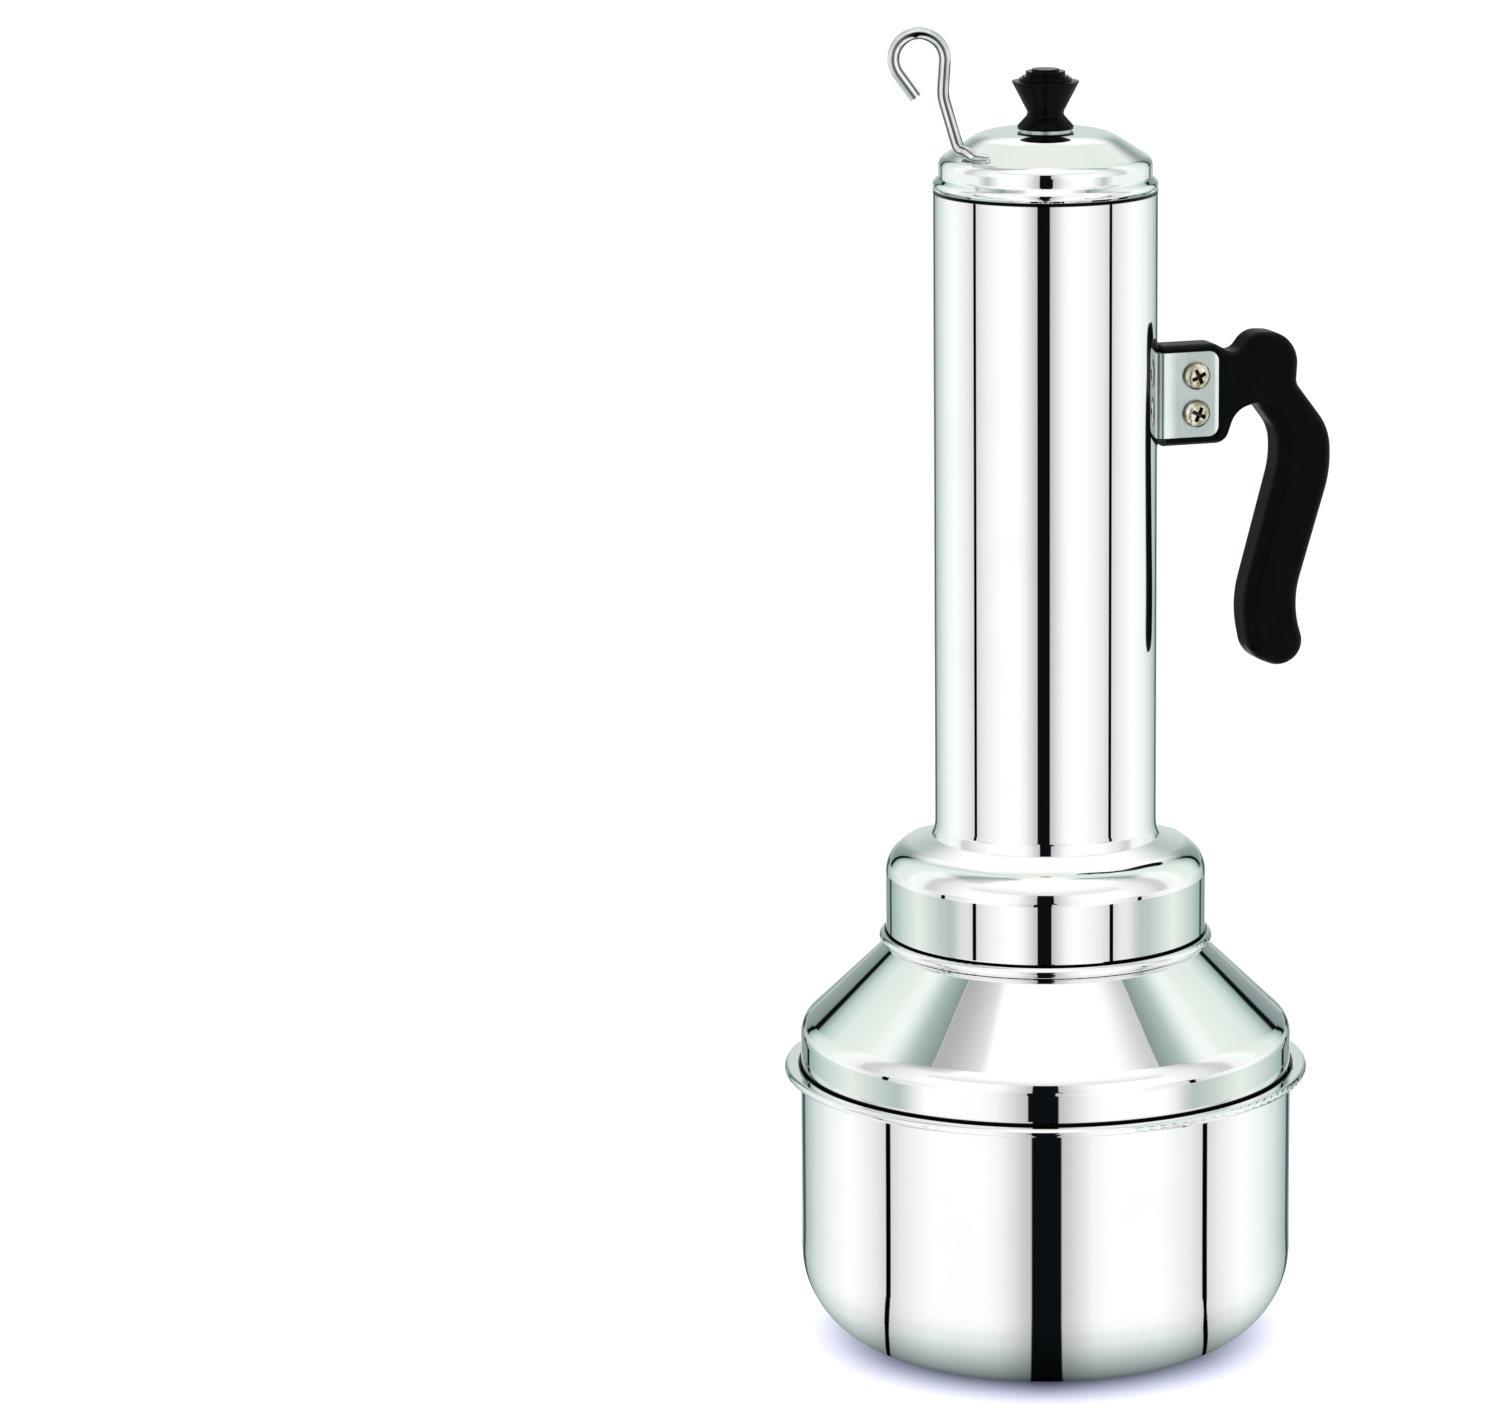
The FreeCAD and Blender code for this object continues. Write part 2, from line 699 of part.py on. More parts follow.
os.makedirs("parts", exist_ok=True)
for name, shape in pieces.items():
    box = shape.BoundBox
    shape.exportStep("parts/" + name + ".step")
    print(name, "solids", len(shape.Solids), "valid", shape.isValid(), "volume", round(shape.Volume),
          "x", round(box.XMin, 1), round(box.XMax, 1), "y", round(box.YMin, 1), round(box.YMax, 1),
          "z", round(box.ZMin, 1), round(box.ZMax, 1))
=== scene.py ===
# %% [markdown]
# # A puttu maker in polished steel
# The object is a stack of thin turned shells: a boiler pot, a cone, a tall tube on a domed skirt, and a
# lid. A black handle is screwed to the tube, and the lid carries a wire hook and a black knob. The shapes
# that are right in the imported model stay as they are, and this script dresses them. It makes new pieces
# only where the real one has more detail than the model. The first cell loads the model and bakes each
# piece's placement into its mesh.

# %% Load the imported model
import math

import bpy
from mathutils import Matrix, Vector


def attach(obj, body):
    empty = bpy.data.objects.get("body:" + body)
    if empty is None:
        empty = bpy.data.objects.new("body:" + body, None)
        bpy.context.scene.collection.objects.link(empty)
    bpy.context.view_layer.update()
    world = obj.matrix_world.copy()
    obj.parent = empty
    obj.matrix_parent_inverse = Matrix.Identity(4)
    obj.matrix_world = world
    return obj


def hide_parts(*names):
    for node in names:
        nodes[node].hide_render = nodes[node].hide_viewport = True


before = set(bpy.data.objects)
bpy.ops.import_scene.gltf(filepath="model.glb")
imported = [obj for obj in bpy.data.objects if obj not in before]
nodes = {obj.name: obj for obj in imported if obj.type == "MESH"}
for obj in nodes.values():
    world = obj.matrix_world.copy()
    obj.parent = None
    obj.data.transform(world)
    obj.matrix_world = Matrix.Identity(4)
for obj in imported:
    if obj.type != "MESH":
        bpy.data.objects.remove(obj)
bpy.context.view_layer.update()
print("pieces in the packed model:", len(nodes))

# %% [markdown]
# ## The camera
# The photograph was taken from 1.87 m away with a long lens, a little above the object and 20 degrees round
# from its front. A camera could be aimed with a constraint, but plain angles say more to a reader, so the
# eye is placed on a circle round the Z axis. The object stands right of the frame's middle, and the
# sensor's shift puts it there without turning the camera, which would lean the uprights.

# %% Place the camera
FRAME_PIXELS = (1500, 1420)
AXIS_PIXEL = 1045.5
FOCAL_PIXELS = 6535
EYE_REACH = 1.869
EYE_HEIGHT = 0.5947
TURN = math.radians(-20.0)
DROP = math.radians(12.2266)

scene = bpy.context.scene
scene.view_settings.view_transform = "Standard"

lens = bpy.data.cameras.new("studio_camera")
lens.sensor_width = 36.0
lens.lens = FOCAL_PIXELS / FRAME_PIXELS[0] * lens.sensor_width
lens.shift_x = (FRAME_PIXELS[0] / 2 - AXIS_PIXEL) / FRAME_PIXELS[0]
lens.clip_end = 50.0
camera = bpy.data.objects.new("studio_camera", lens)
camera.location = (EYE_REACH * math.sin(TURN), -EYE_REACH * math.cos(TURN), EYE_HEIGHT)
camera.rotation_euler = (math.pi / 2 - DROP, 0.0, TURN)
scene.collection.objects.link(camera)
scene.camera = camera
print("lens in millimetres:", round(lens.lens, 2))

# %% [markdown]
# ## Arithmetic on sockets
# A material is a graph, and a graph of Math nodes is hard to read. Small classes let Python write it: one
# wraps a socket, so that `1 - mask * 0.3` adds the two Math nodes and links them. The other wraps a node
# tree and adds any other node from its type, its settings and the values or links of its sockets.

# %% Wrap a socket
class Socket:
    """The output of a node, on which arithmetic adds Math nodes."""

    def __init__(self, tree, socket):
        self.tree = tree
        self.socket = socket

    def output(self, name):
        """Another output of the same node."""
        return Socket(self.tree, self.socket.node.outputs[name])

    def math(self, operation, *others):
        return self.tree.maths(operation, self, *others)

    def __add__(self, other):
        return self.math("ADD", other)

    def __sub__(self, other):
        return self.math("SUBTRACT", other)

    def __rsub__(self, other):
        return self.tree.maths("SUBTRACT", other, self)

    def __mul__(self, other):
        return self.math("MULTIPLY", other)

    def __truediv__(self, other):
        return self.math("DIVIDE", other)

    def __rtruediv__(self, other):
        return self.tree.maths("DIVIDE", other, self)

    def __abs__(self):
        return self.math("ABSOLUTE")

    __radd__ = __add__
    __rmul__ = __mul__

    def smaller(self, other):
        return self.math("MINIMUM", other)

    def larger(self, other):
        return self.math("MAXIMUM", other)

    def ease(self, start, end, low=0.0, high=1.0):
        """A smooth step from low at start to high at end."""
        values = {"Value": self, "From Min": start, "From Max": end, "To Min": low, "To Max": high}
        return self.tree.node("ShaderNodeMapRange", {"interpolation_type": "SMOOTHSTEP"}, values)


# %% [markdown]
# Every other node goes through one method, and short ones name the kinds that come up often. A node's
# settings are made before its values, because a setting can swap the node's sockets. A socket is found by
# its name, its identifier or its number, and a list of sources goes to a socket that takes many.

# %% Wrap a node tree
class Tree:
    """A node tree, and the ways to add to it."""

    def __init__(self, node_tree):
        self.nodes = node_tree.nodes
        self.links = node_tree.links
        self.nodes.clear()

    def node(self, kind, settings=None, values=None, out=0):
        """Adds a node and returns one of its outputs, or the node itself if it has none."""
        made = self.nodes.new(kind)
        for name, value in (settings or {}).items():
            if name == "stops":
                self.set_stops(made.color_ramp, value)
            else:
                setattr(made, name, value)
        for name, value in (values or {}).items():
            target = self.find(made.inputs, name)
            for source in value if isinstance(value, list) else [value]:
                if isinstance(source, Socket):
                    self.links.new(source.socket, target)
                else:
                    target.default_value = source
        outputs = [s for s in made.outputs if s.enabled]
        return Socket(self, outputs[out]) if outputs else made

    @staticmethod
    def find(sockets, name):
        if isinstance(name, int):
            return sockets[name]
        return next(s for s in sockets if s.enabled and name in (s.name, s.identifier))

    @staticmethod
    def set_stops(ramp, stops):
        """Stops are (place, colour), and a number alone is a grey."""
        while len(ramp.elements) < len(stops):
            ramp.elements.new(1.0)
        for element, (place, colour) in zip(ramp.elements, stops):
            element.position = place
            red, green, blue = colour if isinstance(colour, tuple) else (colour,) * 3
            element.color = (red, green, blue, 1.0)

    def maths(self, operation, *values):
        return self.node("ShaderNodeMath", {"operation": operation}, dict(enumerate(values)))

    def vector_maths(self, operation, *values):
        return self.node("ShaderNodeVectorMath", {"operation": operation}, dict(enumerate(values)))

    def scaled(self, vector, factor):
        values = {"Vector": vector, "Scale": factor}
        return self.node("ShaderNodeVectorMath", {"operation": "SCALE"}, values)

    def mix(self, factor, a, b, blend="MIX"):
        """A mix of two colours."""
        a, b = ((*c, 1.0) if isinstance(c, tuple) and len(c) == 3 else c for c in (a, b))
        settings = {"data_type": "RGBA", "blend_type": blend, "clamp_factor": True}
        return self.node("ShaderNodeMix", settings, {"Factor": factor, "A": a, "B": b})

    def colours(self, value, span, stops):
        """A colour that changes with a value from 0 to span, given as (value, colour) stops."""
        places = [(place / span, colour) for place, colour in stops]
        return self.node("ShaderNodeValToRGB", {"stops": places}, {"Fac": value / span})


print("helpers ready:", Socket.__name__, "and", Tree.__name__)

# %% [markdown]
# ## What the mirror sees
# Polished steel shows the room, not itself. The photograph's studio is a white tent with a black slot in
# front, where the lens looks in, and thin dark seams at the sides. Real panels could be modelled round the
# object. Here the world and the floor carry the picture, because then a stripe has an exact bearing, and
# soft edges cost nothing. Bearings are measured from the direction of the studio's entrance, which is
# fixed in the room, and positive to the right. The stops of each ramp below are bearings in degrees, or
# counts of a half width, and each tone was chosen to match the photograph's steel there.

# %% Bearings in the studio
ENTRANCE = Vector((math.sin(TURN), -math.cos(TURN), 0.0))
ASIDE = Vector((math.cos(TURN), math.sin(TURN), 0.0))
PANEL_LEVEL = 1.16

BLACK = (0.004, 0.005, 0.006)
SHADE = (0.28, 0.36, 0.36)
DIM = (0.25, 0.31, 0.3)


def along(tree, vector, direction):
    """How far a vector reaches along a direction."""
    return tree.vector_maths("DOT_PRODUCT", vector, direction).output("Value")


def degrees_of(radians):
    return radians * (180.0 / math.pi)


def slot(tree, bearing, centre, half_width):
    """The black entrance, with grey shoulders that rise to white at four half widths."""
    offset = abs(bearing - centre) / half_width
    return tree.colours(offset, 5.0, [
        (0.95, BLACK), (1.05, 0.53), (1.5, 0.6), (2.3, 0.76), (3.2, 0.92), (4.3, 1.0)])


def seams(tree, bearing, left, right, width):
    """Two dark folds in the tent, each in a soft grey valley."""
    nearest = abs(bearing - left).smaller(abs(bearing - right)) / width
    return tree.colours(nearest, 20.0, [
        (0.8, 0.0), (1.15, 0.68), (5.0, 0.8), (9.0, 0.88), (17.0, 1.0)])


print("one level of white is", PANEL_LEVEL)

# %% [markdown]
# The walls of the tent reach past the sides and then fall to a greenish grey behind the object. Upright
# walls of the pot and the tube see them one way in the floor, and the short bands of the cone, skirt and
# lid see the tent end sooner, with a black edge where it stops.

# %% Walls of the tent
def tall_walls(tree, side):
    return tree.colours(side, 180.0, [
        (104.0, 1.0), (120.0, (0.88, 0.91, 0.9)), (138.0, (0.64, 0.7, 0.69)),
        (155.6, (0.34, 0.42, 0.42)), (157.4, (0.05, 0.08, 0.08)), (162.6, (0.05, 0.08, 0.08)),
        (164.4, SHADE), (168.0, SHADE), (172.0, 0.95), (180.0, 1.0)])


def low_walls(tree, side):
    return tree.colours(side, 180.0, [
        (57.0, 1.0), (63.0, 0.86), (68.0, (0.62, 0.66, 0.64)), (73.0, (0.47, 0.54, 0.51)),
        (80.0, (0.5, 0.58, 0.54)), (104.0, (0.79, 0.85, 0.79)), (128.0, (0.55, 0.63, 0.6)),
        (140.0, (0.38, 0.5, 0.47)), (147.5, (0.3, 0.4, 0.38)), (148.5, BLACK), (151.5, BLACK),
        (152.5, DIM), (168.0, DIM), (172.0, 0.9), (180.0, 1.0)])


def lid_walls(tree, side):
    return tree.colours(side, 180.0, [
        (50.0, 1.0), (60.0, 0.7), (65.0, (0.5, 0.55, 0.53)), (71.0, (0.66, 0.72, 0.69)),
        (78.0, (0.88, 0.93, 0.88)), (125.0, (0.84, 0.9, 0.86)), (143.0, (0.66, 0.72, 0.69)),
        (149.0, (0.12, 0.16, 0.16)), (152.0, (0.12, 0.16, 0.16)), (155.0, (0.45, 0.5, 0.49)),
        (168.0, (0.5, 0.56, 0.54)), (174.0, 0.95)])


print("walls ready:", tall_walls.__name__, low_walls.__name__, lid_walls.__name__)

# %% [markdown]
# ## The world
# Above the floor the mirror sees the tent's roof: white overhead, with darker ends over the left and right
# of the object, and the slot's top edge low in front. A lamp would show as a hard spot in the steel, so
# there is none. Everything but the reflections gets one even white, at which a colour renders as written.

# %% Read the direction
world = bpy.data.worlds.new("tent")
world.use_nodes = True
scene.world = world
sky = Tree(world.node_tree)
direction = sky.node("ShaderNodeTexCoord", out=0)
facing = along(sky, direction, ENTRANCE)
rightward = along(sky, direction, ASIDE)
upward = along(sky, direction, (0.0, 0.0, 1.0))
bearing = degrees_of(rightward.math("ARCTAN2", facing))
height = degrees_of(upward.math("ARCSINE"))
side = abs(bearing)
print("bearing and height are read from", len(sky.nodes), "nodes")

# %% [markdown]
# The roof is painted from the middle out. In front it is white above the slot, with a grey fade toward both
# sides that is wide on the left and narrow on the right. A dark edge stands at 91 degrees, where the ends
# begin. Low down the ends turn into the eaves, and behind the object a pale crown closes the tent. Each
# pair of numbers is where a part starts to give way and where it has gone, in degrees of height or bearing.

# %% Paint the roof
WHITE = (1.0, 1.0, 1.0)
SLOT_TOP = (26.0, 28.0)
SLOT_HALF_WIDTH = 6.0
EAVES_TOP = (42.0, 54.0)
CROWN_FOOT = (22.0, 40.0)
ZENITH = (76.0, 84.0)

entrance = sky.mix(height.ease(*SLOT_TOP), slot(sky, bearing, 0.0, SLOT_HALF_WIDTH), (0.8, 0.8, 0.8))
front = sky.mix(height.ease(28.0, 50.0), entrance, WHITE)
left_fade = sky.mix(bearing.ease(-92.0, -42.0), (0.43, 0.43, 0.43), WHITE)
right_fade = sky.mix(bearing.ease(92.0, 68.0), (0.58, 0.58, 0.58), WHITE)
middle = sky.mix(1.0, left_fade, right_fade, "MULTIPLY")
ends = sky.colours(side, 180.0, [
    (90.3, 1.0), (91.0, (0.25, 0.3, 0.29)), (95.0, (0.28, 0.37, 0.35)), (102.0, (0.42, 0.51, 0.48)),
    (109.0, (0.62, 0.72, 0.67)), (117.0, (0.77, 0.84, 0.8)), (128.0, (0.78, 0.86, 0.8)),
    (136.0, (0.72, 0.79, 0.76)), (142.0, (0.54, 0.62, 0.59)), (149.0, (0.28, 0.35, 0.34)),
    (156.0, (0.2, 0.27, 0.26)), (168.0, (0.66, 0.73, 0.72))])
roof = sky.mix(side.ease(90.2, 91.2), middle, ends)
eaves = sky.colours(side, 180.0, [
    (57.0, 1.0), (80.0, 0.78), (88.0, 0.64), (94.0, 0.64), (99.0, 0.9), (112.0, (0.95, 0.98, 0.95)),
    (120.0, (0.8, 0.86, 0.8)), (134.0, (0.74, 0.81, 0.77)), (141.0, (0.55, 0.65, 0.62)),
    (146.5, (0.28, 0.37, 0.35)), (147.5, BLACK), (150.5, BLACK), (151.5, (0.2, 0.27, 0.26)),
    (162.0, (0.3, 0.36, 0.35)), (172.0, (0.6, 0.66, 0.63))])
ring = sky.mix(height.ease(*EAVES_TOP), eaves, roof)
crown = sky.mix(side.ease(150.0, 157.0), (0.78, 0.83, 0.78), (1.0, 0.99, 1.0))
crown = sky.mix(height.ease(57.0, 63.0), crown, (0.81, 0.83, 0.79))
crown = sky.mix(height.ease(*CROWN_FOOT), ring, crown)
overhead = sky.mix(side.ease(138.0, 148.0), ring, crown)
roofed = sky.mix(side.ease(58.0, 66.0), front, overhead)
picture = sky.mix(height.ease(*ZENITH), roofed, (1.0, 0.98, 0.99))
seen = sky.mix(1.0, picture, (PANEL_LEVEL,) * 3, "MULTIPLY")

mirrored = sky.node("ShaderNodeLightPath").output("Is Glossy Ray")
plain = sky.node("ShaderNodeBackground", values={"Color": (1.0, 1.0, 1.0, 1.0), "Strength": 1.0})
shown = sky.node("ShaderNodeBackground", values={"Color": seen, "Strength": 1.0})
chosen = sky.node("ShaderNodeMixShader", values={0: mirrored, 1: plain, 2: shown})
sky.node("ShaderNodeOutputWorld", values={"Surface": chosen})
print("world nodes:", len(sky.nodes))

# %% [markdown]
# ## The floor
# The floor is a wide white sheet. The upright walls of the object see nothing but this sheet, because the
# camera looks down, so the tent's stripes are laid on it in plan. A wall of radius R that stands at the
# middle sends a sight line of bearing b to the floor point at bearing p and distance d when
# b = p + asin(R sin(b / 2) / d). Three rounds of that formula settle it. The radius depends on which part
# looks there: far points belong to the tube, near ones to the pot. The pot's rounded foot looks nearer and
# nearer as it turns under, so there the radius is worked out, five degrees of turn at a time, for a stripe
# that stays upright on it.

# %% Measure the floor
FLOOR_DROP = 0.0002
FLOOR_RADIUS = 9.0
POT_RADIUS = 0.0725
SKIRT_RADIUS = 0.047
TUBE_RADIUS = 0.0325
FOOT_BEND_RADIUS = 0.028
STRIPE = math.radians(79.3)
LOOK_DOWN = math.radians(17.2)
SKIRT_SEES = (0.42, 0.50)
TUBE_SEES = (0.63, 0.68)
SINE_LIMIT = 0.95


def foot_stop(turn_degrees):
    """Where a stripe on the rounded foot meets the floor, and the radius of a wall that sends it there."""
    turn = math.radians(turn_degrees)
    ring = POT_RADIUS - FOOT_BEND_RADIUS * (1.0 - math.cos(turn))
    angle = math.asin(POT_RADIUS * math.sin(STRIPE / 2) / ring)
    above = FOOT_BEND_RADIUS * (1.0 - math.sin(turn))
    point = Vector((ring * math.cos(angle), ring * math.sin(angle), above))
    outward = math.cos(turn)
    normal = Vector((outward * math.cos(angle), outward * math.sin(angle), -math.sin(turn)))
    eye = Vector((math.cos(LOOK_DOWN), 0.0, math.sin(LOOK_DOWN)))
    ray = 2.0 * normal.dot(eye) * normal - eye
    hit = point - ray * (point.z / ray.z)
    reach = math.hypot(hit.x, hit.y)
    return reach, reach * math.sin(STRIPE - math.atan2(hit.y, hit.x)) / math.sin(STRIPE / 2)


bpy.ops.mesh.primitive_circle_add(vertices=96, radius=FLOOR_RADIUS, fill_type="NGON",
                                  location=(0.0, 0.0, -FLOOR_DROP))
floor = bpy.context.object
floor.name = "studio_floor"

floor_finish = bpy.data.materials.new("studio_sheet")
floor_finish.use_nodes = True
sheet = Tree(floor_finish.node_tree)
place = sheet.node("ShaderNodeTexCoord", out=3)
toward = along(sheet, place, ENTRANCE)
across = along(sheet, place, ASIDE)
distance = sheet.vector_maths("LENGTH", place).output("Value").larger(0.001)
plan = across.math("ARCTAN2", toward)
foot_stops = sorted(foot_stop(turn_degrees) for turn_degrees in range(0, 66, 5))
decimetres = sheet.colours(distance, 0.17, [(reach, wall * 10.0) for reach, wall in foot_stops])
radius = decimetres * 0.1
radius = radius - distance.ease(*SKIRT_SEES, 0.0, POT_RADIUS - SKIRT_RADIUS)
radius = radius - distance.ease(*TUBE_SEES, 0.0, SKIRT_RADIUS - TUBE_RADIUS)
sight = plan
for _ in range(3):
    half = sight * 0.5
    lean = half.math("SINE") * radius / distance
    sight = plan + lean.smaller(SINE_LIMIT).larger(-SINE_LIMIT).math("ARCSINE")
bearing = degrees_of(sight)
side = abs(bearing)
half = sight * 0.5
turned = sight - plan
run = distance * turned.math("COSINE") - radius * half.math("COSINE")
print("floor nodes so far:", len(sheet.nodes))

# %% [markdown]
# The run is the level distance from the wall to the floor point. It says which part sees the point, since
# each part stands at its own height: the pot to 0.29 m, the cone's band to 0.38 m, the skirt to 0.63 m, the
# tube to 2.5 m and the lid beyond. Each row below gives a part its slot's middle and half width, and the
# bearings of its left and right seams. A part that shows no seam has them past every bearing.

# %% Share the floor out
SEAM_WIDTH = 1.5
TUBE_SEAM_ADDS = 0.3
POT_END = (0.286, 0.295)
BAND_END = (0.37, 0.39)
SKIRT_END = (0.617, 0.637)
TUBE_END = (2.5, 2.6)
NO_SEAM = 400.0

past_pot, past_band, past_skirt, past_tube = (
    run.ease(*end) for end in (POT_END, BAND_END, SKIRT_END, TUBE_END))
pot_part = 1.0 - past_pot
tube_part = past_skirt * (1.0 - past_tube)
rows = (
    (pot_part, 0.5, 6.9, -78.7, 79.9),
    (past_pot * (1.0 - past_band), -1.0, 7.1, -NO_SEAM, NO_SEAM),
    (past_band * (1.0 - past_skirt), -0.7, 5.0, -52.3, 48.2),
    (tube_part, -1.85, 6.4, -77.4, 70.3),
    (past_tube, 0.9, 7.1, -NO_SEAM, NO_SEAM))
centre, half_width, left, right = (sum(row[0] * row[column] for row in rows) for column in range(1, 5))
print("parts that share the floor:", len(rows))

# %% [markdown]
# The stripes are three layers multiplied: the slot, the seams and the tent's walls. A fourth one darkens
# the floor under the pot, where the rounded foot sees its own shade.

# %% Lay the stripes on the floor
walls = sheet.mix(pot_part.larger(tube_part), low_walls(sheet, side), tall_walls(sheet, side))
walls = sheet.mix(past_tube, walls, lid_walls(sheet, side))
folds = seams(sheet, bearing, left, right, SEAM_WIDTH + tube_part * TUBE_SEAM_ADDS)
stripes = sheet.mix(1.0, slot(sheet, bearing, centre, half_width), folds, "MULTIPLY")
stripes = sheet.mix(1.0, stripes, walls, "MULTIPLY")
near_shade = sheet.colours(distance, 0.2, [
    (0.0, (0.03, 0.035, 0.04)), (0.045, (0.05, 0.055, 0.06)), (0.054, (0.14, 0.17, 0.17)),
    (0.061, (0.3, 0.35, 0.34)), (0.069, (0.5, 0.56, 0.54)), (0.08, (0.76, 0.8, 0.78)),
    (0.1, (0.94, 0.95, 0.94)), (0.125, 1.0)])
mirrored_floor = sheet.mix(1.0, stripes, near_shade, "MULTIPLY")
print("floor nodes so far:", len(sheet.nodes))

# %% [markdown]
# The lens sees the sheet itself as white paper: matt, so that the object's contact shadow stays, with a
# little glow that brings the open floor up to white. The glow is painted light that changes with distance
# from the pot: strongest just round it, where it lifts the shadow towards white, and gone under its foot,
# which leaves a painted dark shadow there, faintly lilac.

# %% Finish the floor
matt = sheet.node("ShaderNodeBsdfDiffuse", values={"Color": (0.86, 0.88, 0.84, 1.0)})
# Painted light and shadow by distance from the pot: no glow under its foot, a lilac one at the shadow's
# edge, most just round it.
glow_with_painted_shadow = sheet.colours(distance, 0.3, [
    (0.044, (0.0, 0.0, 0.01)), (0.05, (0.03, 0.03, 0.09)), (0.058, (0.12, 0.11, 0.26)),
    (0.068, (0.36, 0.34, 0.55)), (0.08, (0.62, 0.61, 0.7)), (0.1, (0.66, 0.65, 0.68)),
    (0.16, 0.4), (0.28, 0.2)])
glow = sheet.node("ShaderNodeEmission", values={"Color": glow_with_painted_shadow, "Strength": 1.0})
lit = sheet.node("ShaderNodeAddShader", values={0: matt, 1: glow})
reflection = sheet.node("ShaderNodeEmission", values={"Color": mirrored_floor, "Strength": PANEL_LEVEL})
mirrored = sheet.node("ShaderNodeLightPath").output("Is Glossy Ray")
finish = sheet.node("ShaderNodeMixShader", values={0: mirrored, 1: lit, 2: reflection})
sheet.node("ShaderNodeOutputMaterial", values={"Surface": finish})
floor.data.materials.append(floor_finish)
print("floor nodes:", len(sheet.nodes))

# %% [markdown]
# ## Mirror steel
# The shells are drawn and spun from stainless sheet, then buffed on a wheel as they turn. What is left is a
# mirror with a faint cool tint, hair lines that run round the axis, and soft patches where a cloth has
# passed. An image of scratches could give that, but a turned piece has a better guide in its own height:
# noise squeezed along it makes hair lines at their real width. Where one shell meets the next, the skin is
# painted black close to three rings, each given by its radius and height: painted shade of the crevice
# between them, with some grime.

# %% Polished steel
def new_material(name):
    """A material with an empty tree, and that tree."""
    material = bpy.data.materials.new(name)
    material.use_nodes = True
    return material, Tree(material.node_tree)


def surface(tree, **values):
    """A Principled shader on the material's output. Names are written with underscores."""
    named = {name.replace("_", " "): value for name, value in values.items()}
    shader = tree.node("ShaderNodeBsdfPrincipled", values=named)
    tree.node("ShaderNodeOutputMaterial", values={"Surface": shader})


def object_place(tree, scale=(1.0, 1.0, 1.0)):
    """Object coordinates in metres, stretched by scale."""
    place = tree.node("ShaderNodeTexCoord", out=3)
    return tree.node("ShaderNodeMapping", {"vector_type": "POINT"}, {"Vector": place, "Scale": scale})


def noise(tree, place, scale, detail, roughness=0.5):
    values = {"Vector": place, "Scale": scale, "Detail": detail, "Roughness": roughness}
    return tree.node("ShaderNodeTexNoise", {"noise_dimensions": "3D"}, values)


# Painted shade, with some grime, in the crevices where the shells meet: each ring's radius and height.
SHADED_CREVICES = ((0.047, 0.124), (0.0325, 0.3429), (0.0725, 0.084))
CREVICE_EDGE = (0.0006, 0.0008)

steel, tree = new_material("mirror_steel")
hair = noise(tree, object_place(tree, (40.0, 40.0, 9000.0)), 1.0, 3.0)
cloth = noise(tree, object_place(tree), 28.0, 3.0, 0.6)
haze = cloth.ease(0.5, 0.8)
flat = tree.vector_maths("LENGTH", object_place(tree, (1.0, 1.0, 0.0))).output("Value")
level = along(tree, object_place(tree), (0.0, 0.0, 1.0))
crevice_shade_reach = None
for ring_radius, ring_level in SHADED_CREVICES:
    out = flat - ring_radius
    up = level - ring_level
    reach = (out * out + up * up).math("SQRT")
    crevice_shade_reach = reach if crevice_shade_reach is None else crevice_shade_reach.smaller(reach)
polish = tree.mix(haze, (0.86, 0.875, 0.87), (0.84, 0.85, 0.85))
# Near the crevice rings the colour turns almost black: painted shade with some grime.
surface(tree,
        Base_Color=tree.mix(crevice_shade_reach.ease(*CREVICE_EDGE), (0.004, 0.004, 0.005), polish),
        Metallic=1.0,
        Roughness=0.008 + hair.ease(0.45, 0.8) * 0.006 + haze * 0.01)
print("steel nodes:", len(tree.nodes))

# %% [markdown]
# ## Satin steel
# The bracket, the washer and the loose disc are cut from brushed sheet, which is dull and streaked along
# the grain. The streaks are noise stretched along Z, and they feed both the roughness and a faint bump.
# The bracket's folds could be left to the reflections alone. They are drawn along X instead, as dark lines
# of painted shade and light lines of painted highlight, because that is how they show in the photograph.

# %% Brushed sheet
def brushed(name, folds):
    """Brushed sheet. The folds are stops along X in millimetres, dark for painted shade or light for
    painted highlight, and 0.5 is plain.
    """
    material, tree = new_material(name)
    streaks = noise(tree, object_place(tree, (2600.0, 2600.0, 60.0)), 1.0, 3.0)
    stain = noise(tree, object_place(tree), 90.0, 3.0)
    bump = tree.node("ShaderNodeBump", values={"Height": streaks, "Distance": 0.00001, "Strength": 0.25})
    sheet_colour = tree.mix(stain.ease(0.35, 0.7), (0.44, 0.5, 0.48), (0.52, 0.57, 0.55))
    reach = along(tree, object_place(tree), (1000.0, 0.0, 0.0))
    surface(tree,
            Base_Color=tree.mix(1.0, sheet_colour, tree.colours(reach, 60.0, folds), "OVERLAY"),
            Metallic=1.0,
            Roughness=0.24 + streaks.ease(0.3, 0.7) * 0.12,
            Normal=bump)
    return material


satin = brushed("brushed_sheet", [(0.0, 0.5), (60.0, 0.5)])
# Painted shade and painted highlight along the bracket's folds, by millimetres along X.
bracket_steel = brushed("bracket_sheet", [
    (31.5, 0.5), (32.4, 0.46), (32.6, 0.1), (32.9, 0.1), (33.1, 0.45), (33.4, 0.45), (33.6, 0.12),
    (33.8, 0.12), (34.0, 0.85), (35.6, 0.8), (38.0, 0.52), (49.6, 0.5), (50.1, 0.8), (51.0, 0.85)])
print("brushed finishes:", satin.name, "and", bracket_steel.name)
